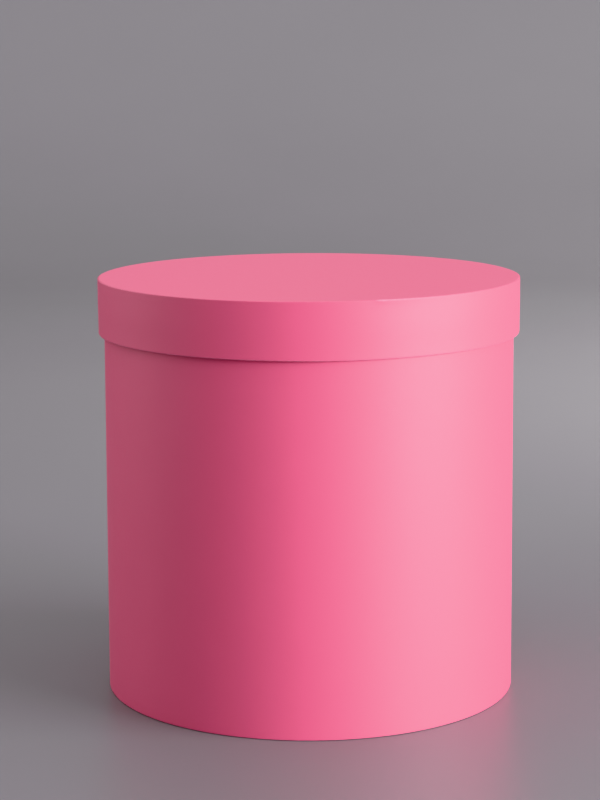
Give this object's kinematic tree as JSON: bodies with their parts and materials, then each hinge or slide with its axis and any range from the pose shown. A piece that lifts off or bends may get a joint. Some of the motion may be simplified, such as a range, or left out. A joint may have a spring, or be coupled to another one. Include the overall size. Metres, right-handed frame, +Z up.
{
  "type": "flower box",
  "caption": "Round rigid flower box covered in plain matte pink paper, white inside, with a shallow overlapping lid that lifts off.",
  "frame": {"origin": "centre of the underside, on the surface the box stands on", "axes": "+Z up along the box's axis; +Y towards the glued seam of the body's covering paper, so -Y is the front"},
  "size_m": [0.2059, 0.2058, 0.2023],
  "materials": {
    "pink_paper": "matte",
    "white_paper": "matte",
    "greyboard": "matte",
    "kraft_tape": "satin"
  },
  "bodies": {
    "base": {"base_wall": "greyboard", "base_wall_tape": "kraft_tape", "base_bottom_board": "greyboard", "base_wrap": "pink_paper", "base_bottom_cover": "pink_paper", "base_wall_lining": "white_paper", "base_bottom_lining": "white_paper"},
    "lid": {"lid_ring": "greyboard", "lid_ring_tape": "kraft_tape", "lid_top_board": "greyboard", "lid_top_cover": "pink_paper", "lid_skirt_wrap": "pink_paper", "lid_skirt_lining": "white_paper", "lid_top_lining": "white_paper"}
  },
  "joints": [
    {"name": "lid_lift", "type": "slide", "parent": "base", "child": "lid", "axis": [0, 0, 1], "range_m": [0, 0.16]}
  ]
}
